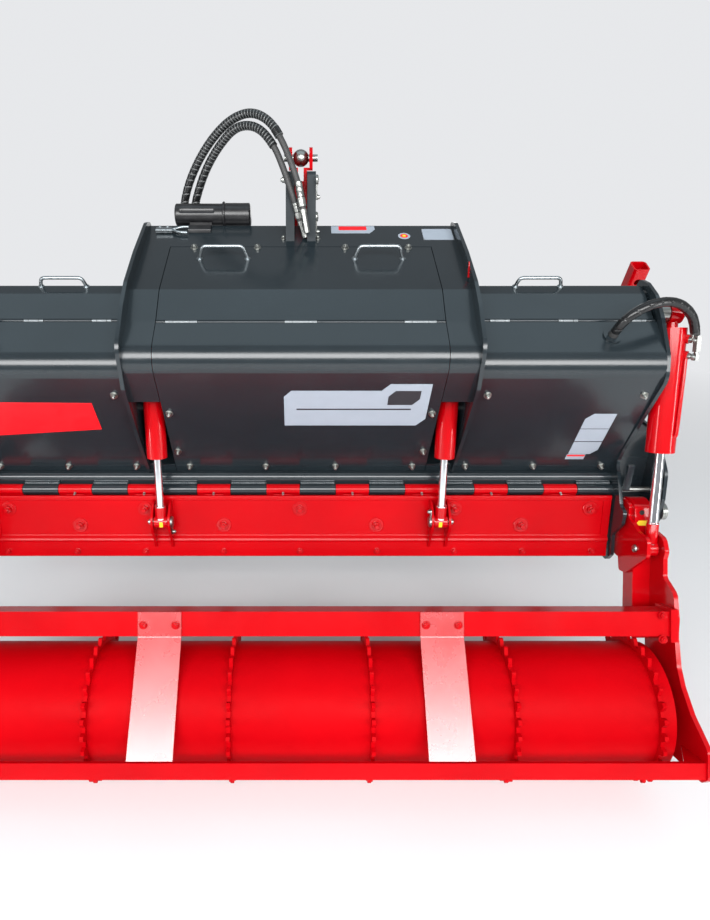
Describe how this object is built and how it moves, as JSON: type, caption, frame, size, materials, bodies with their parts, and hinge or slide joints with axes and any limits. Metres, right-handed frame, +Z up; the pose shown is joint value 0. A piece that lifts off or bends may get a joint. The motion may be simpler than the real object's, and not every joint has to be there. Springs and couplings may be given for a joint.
{
  "type": "tractor-mounted stone crusher, tiller and mulcher",
  "caption": "Tractor-mounted stone crusher and soil tiller with hooded rotor, raised drive casing and hydraulically lifted toothed packer roller.",
  "frame": {"origin": "on the ground under the middle of the machine's box", "axes": "+X to the machine's right seen from behind, +Y forward to the tractor, +Z up"},
  "size_m": [2.62, 1.8749, 2.1083],
  "materials": {
    "red_paint": "gloss red coat",
    "grey_paint": "satin slate grey coat",
    "cast_grey": "painted casting",
    "bright_steel": "zinc plated",
    "chrome": "hard chrome rod",
    "tool_steel": "forged steel",
    "hose_black": "spiral guarded hose",
    "black_plastic": "gloss black",
    "curtain_rubber": "matt"
  },
  "bodies": {
    "machine": {"side_plates": "grey_paint", "bay_plates": "grey_paint", "chamber": "grey_paint", "middle_rear_panel": "grey_paint", "middle_casing": "grey_paint", "side_casings": "grey_paint", "gearbox": "cast_grey", "pto_shaft": "bright_steel", "side_drives": "grey_paint", "headstock": "grey_paint", "front_frame": "grey_paint", "top_link_bracket": "red_paint", "lower_hitch": "grey_paint", "hood_hinge": "grey_paint", "steel_pins": "bright_steel", "stand_sleeves": "grey_paint", "top_hose_a": "hose_black", "top_hose_b": "hose_black", "side_hose_right": "hose_black", "side_hose_left": "hose_black", "hose_bracket": "grey_paint", "document_tube": "black_plastic", "front_curtain": "curtain_rubber"},
    "rotor": {"rotor_body": "red_paint", "rotor_tools": "tool_steel"},
    "roller_frame": {"arm_right": "red_paint", "arm_left": "red_paint", "upper_beam": "red_paint", "lower_beam": "red_paint", "straps": "red_paint"},
    "roller": {"drum": "red_paint", "toothed_rings": "red_paint"},
    "lift_barrel_right": {"lift_barrel_right": "red_paint"},
    "lift_barrel_left": {"lift_barrel_left": "red_paint"},
    "lift_rod_right": {"lift_rod_right": "chrome"},
    "lift_rod_left": {"lift_rod_left": "chrome"},
    "hood": {"hood": "red_paint"},
    "hood_barrel_right": {"hood_barrel_right": "red_paint"},
    "hood_barrel_left": {"hood_barrel_left": "red_paint"},
    "hood_rod_right": {"hood_rod_right": "chrome"},
    "hood_rod_left": {"hood_rod_left": "chrome"},
    "middle_lid": {"middle_lid": "grey_paint"},
    "right_lid": {"right_lid": "grey_paint"},
    "left_lid": {"left_lid": "grey_paint"},
    "stand_right": {"stand_right": "red_paint"},
    "stand_left": {"stand_left": "red_paint"}
  },
  "joints": [
    {"name": "rotor_spin", "type": "hinge", "parent": "machine", "child": "rotor", "pos_m": [0, 0.145, 0.69], "axis": [1, 0, 0], "continuous": true},
    {"name": "roller_lift", "type": "hinge", "parent": "machine", "child": "roller_frame", "pos_m": [0, -0.286, 0.807], "axis": [-1, 0, 0], "range_deg": [0, 50]},
    {"name": "roller_spin", "type": "hinge", "parent": "roller_frame", "child": "roller", "pos_m": [0, -0.628, 0.244], "axis": [1, 0, 0], "continuous": true},
    {"name": "hood_open", "type": "hinge", "parent": "machine", "child": "hood", "pos_m": [0, -0.212, 0.858], "axis": [-1, 0, 0], "range_deg": [0, 60]},
    {"name": "lift_swing_right", "type": "hinge", "parent": "machine", "child": "lift_barrel_right", "pos_m": [0, -0.226, 1.495], "axis": [-1, 0, 0], "range_deg": [0, 4]},
    {"name": "lift_stroke_right", "type": "slide", "parent": "lift_barrel_right", "child": "lift_rod_right", "axis": [0, 0.2407, 0.9706], "range_m": [0, 0.118]},
    {"name": "hood_swing_right", "type": "hinge", "parent": "machine", "child": "hood_barrel_right", "pos_m": [0, -0.215, 1.38], "axis": [-1, 0, 0], "range_deg": [0, 6.6]},
    {"name": "hood_stroke_right", "type": "slide", "parent": "hood_barrel_right", "child": "hood_rod_right", "axis": [0, 0.1316, 0.9913], "range_m": [0, 0.108]},
    {"name": "lift_swing_left", "type": "hinge", "parent": "machine", "child": "lift_barrel_left", "pos_m": [0, -0.226, 1.495], "axis": [-1, 0, 0], "range_deg": [0, 4]},
    {"name": "lift_stroke_left", "type": "slide", "parent": "lift_barrel_left", "child": "lift_rod_left", "axis": [0, 0.2407, 0.9706], "range_m": [0, 0.118]},
    {"name": "hood_swing_left", "type": "hinge", "parent": "machine", "child": "hood_barrel_left", "pos_m": [0, -0.215, 1.38], "axis": [-1, 0, 0], "range_deg": [0, 6.6]},
    {"name": "hood_stroke_left", "type": "slide", "parent": "hood_barrel_left", "child": "hood_rod_left", "axis": [0, 0.1316, 0.9913], "range_m": [0, 0.108]},
    {"name": "middle_lid_open", "type": "hinge", "parent": "machine", "child": "middle_lid", "pos_m": [0, -0.3003, 1.4831], "axis": [1, 0, 0], "range_deg": [0, 95]},
    {"name": "right_lid_open", "type": "hinge", "parent": "machine", "child": "right_lid", "pos_m": [0, -0.2615, 1.4786], "axis": [1, 0, 0], "range_deg": [0, 80]},
    {"name": "left_lid_open", "type": "hinge", "parent": "machine", "child": "left_lid", "pos_m": [0, -0.2615, 1.4786], "axis": [1, 0, 0], "range_deg": [0, 80]},
    {"name": "stand_right_slide", "type": "slide", "parent": "machine", "child": "stand_right", "axis": [0, -0.4067, 0.9135], "range_m": [0, 0.45]},
    {"name": "stand_left_slide", "type": "slide", "parent": "machine", "child": "stand_left", "axis": [0, -0.4067, 0.9135], "range_m": [0, 0.45]}
  ],
  "couplings": [
    {"joint": "lift_swing_right", "follows": "roller_lift", "ratio": 0.08},
    {"joint": "lift_stroke_right", "follows": "roller_lift", "m_per_rad": 0.132},
    {"joint": "hood_swing_right", "follows": "hood_open", "ratio": 0.107},
    {"joint": "hood_stroke_right", "follows": "hood_open", "m_per_rad": 0.1},
    {"joint": "lift_swing_left", "follows": "roller_lift", "ratio": 0.08},
    {"joint": "lift_stroke_left", "follows": "roller_lift", "m_per_rad": 0.132},
    {"joint": "hood_swing_left", "follows": "hood_open", "ratio": 0.107},
    {"joint": "hood_stroke_left", "follows": "hood_open", "m_per_rad": 0.1}
  ]
}
